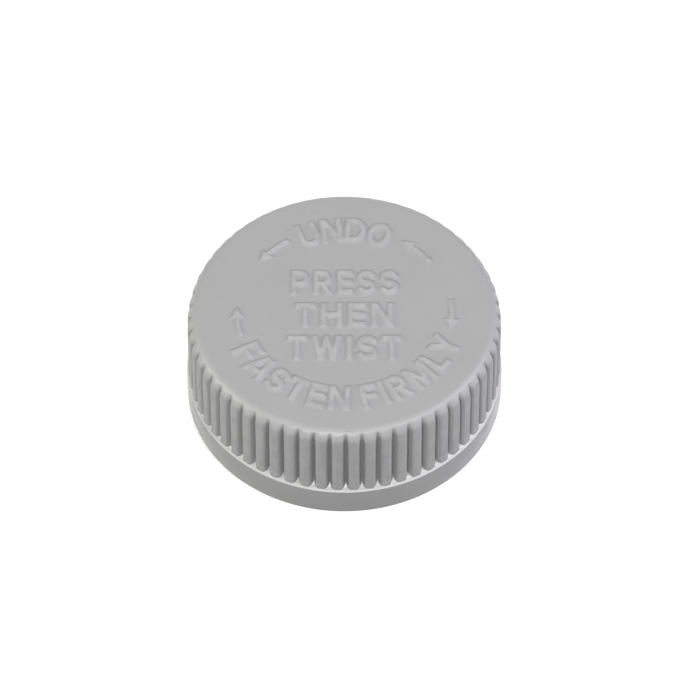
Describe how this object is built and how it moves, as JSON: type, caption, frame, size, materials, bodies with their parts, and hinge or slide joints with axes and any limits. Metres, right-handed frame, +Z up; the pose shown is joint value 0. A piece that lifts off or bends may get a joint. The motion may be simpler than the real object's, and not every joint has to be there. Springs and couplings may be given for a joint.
{
  "type": "child-resistant screw closure",
  "caption": "Two-part push-down-and-turn screw cap for a 38 mm vial or bottle neck: ribbed outer cap, threaded inner cap with liner, drive lugs and spring fingers.",
  "frame": {"origin": "centre of the outer cap's bottom rim, on the plane that the closure stands on", "axes": "+Z up along the common axis of both caps, out through the top face; +X to the right and +Y to the back, with the top marks read from the -Y side"},
  "size_m": [0.045, 0.045, 0.0175],
  "materials": {
    "outer_cap_plastic": "satin moulded polypropylene, pale grey",
    "inner_cap_plastic": "satin moulded polypropylene, natural white",
    "liner_foam": "foamed polyethylene sheet with a smooth skin"
  },
  "bodies": {
    "inner_cap": {"inner_cap": "inner_cap_plastic", "liner": "liner_foam"},
    "spring_fingers": {"spring_finger_1": "outer_cap_plastic", "spring_finger_2": "outer_cap_plastic", "spring_finger_3": "outer_cap_plastic", "spring_finger_4": "outer_cap_plastic", "spring_finger_5": "outer_cap_plastic", "spring_finger_6": "outer_cap_plastic", "spring_finger_7": "outer_cap_plastic", "spring_finger_8": "outer_cap_plastic"},
    "outer_cap": {"outer_cap": "outer_cap_plastic"}
  },
  "joints": [
    {"name": "ratchet_turn", "type": "hinge", "parent": "inner_cap", "child": "spring_fingers", "pos_m": [0, 0, 0.0125], "axis": [0, 0, 1], "continuous": true},
    {"name": "press_down", "type": "slide", "parent": "spring_fingers", "child": "outer_cap", "axis": [0, 0, 1], "range_m": [-0.0016, 0], "stiffness_N_per_m": 12000, "springref_m": 0.0003, "deforming": ["spring_finger_1", "spring_finger_2", "spring_finger_3", "spring_finger_4", "spring_finger_5", "spring_finger_6", "spring_finger_7", "spring_finger_8"]}
  ]
}
